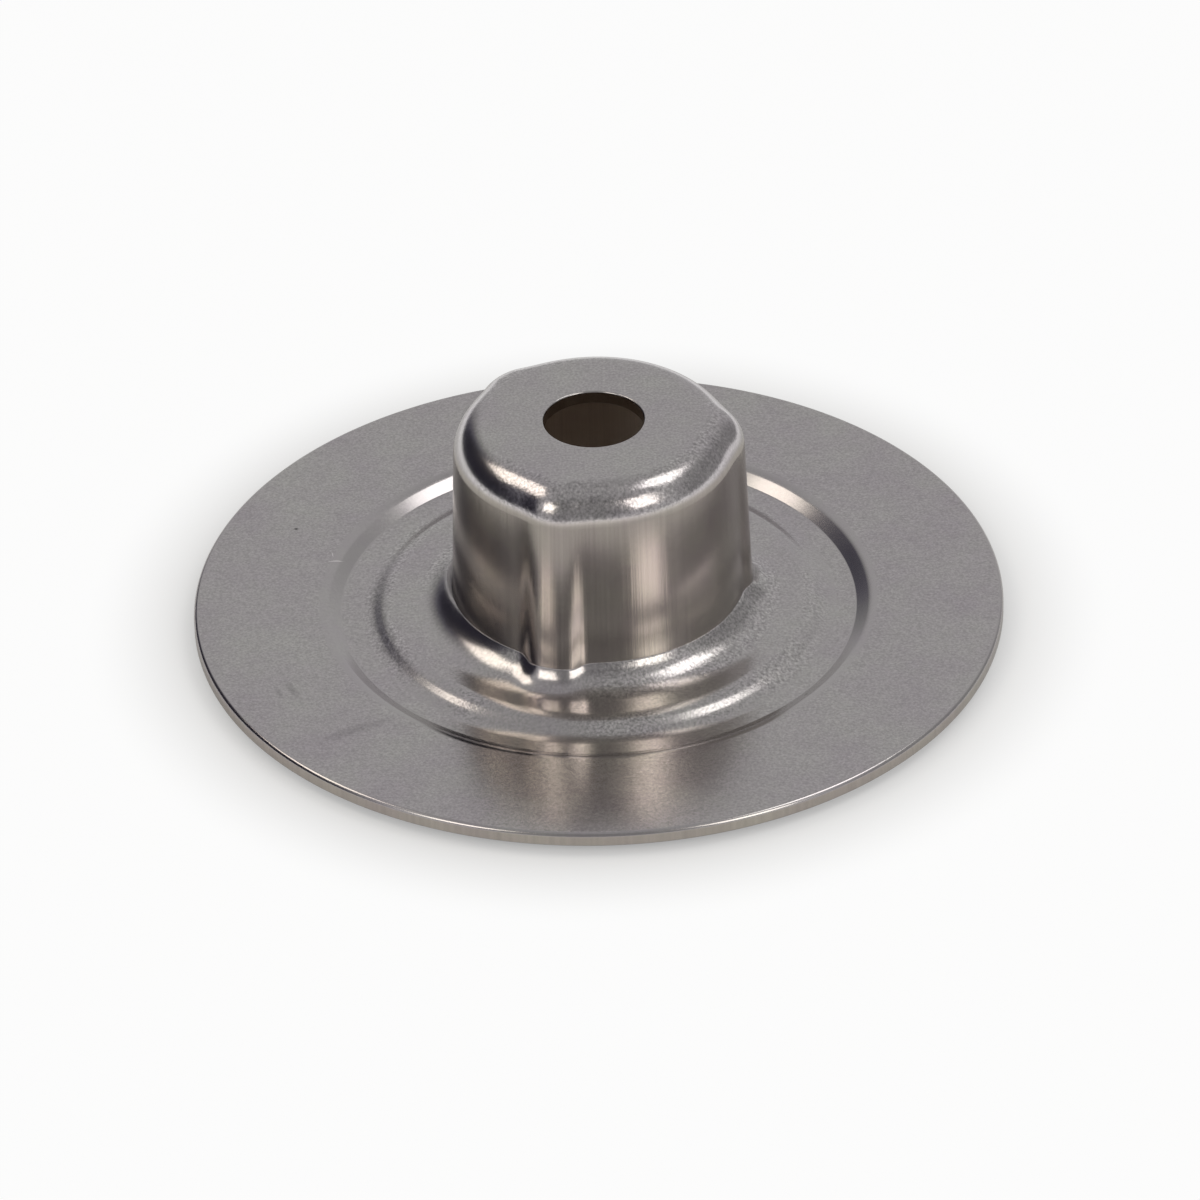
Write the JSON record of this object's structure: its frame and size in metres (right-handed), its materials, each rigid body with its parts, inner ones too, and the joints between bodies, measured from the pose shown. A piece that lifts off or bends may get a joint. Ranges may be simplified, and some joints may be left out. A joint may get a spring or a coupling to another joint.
{
  "type": "washer",
  "caption": "Pressed sheet-steel washer with a flat round flange, a ring groove and a tall tapering three-lobed cup whose flat top has a plain bolt hole",
  "frame": {"origin": "on the axis of the hole, in the plane that the washer stands on, which is the underside of the ring groove", "axes": "+Z runs along the axis of the hole, from the flange to the top of the cup; X and Y lie in the standing plane"},
  "size_m": [0.07, 0.07, 0.0204],
  "materials": {
    "washer": "satin cold-rolled stainless sheet with a fine rolling grain on the flange and upright drawing marks on the cup wall"
  },
  "bodies": {
    "root": {"washer": "washer"}
  },
  "joints": []
}
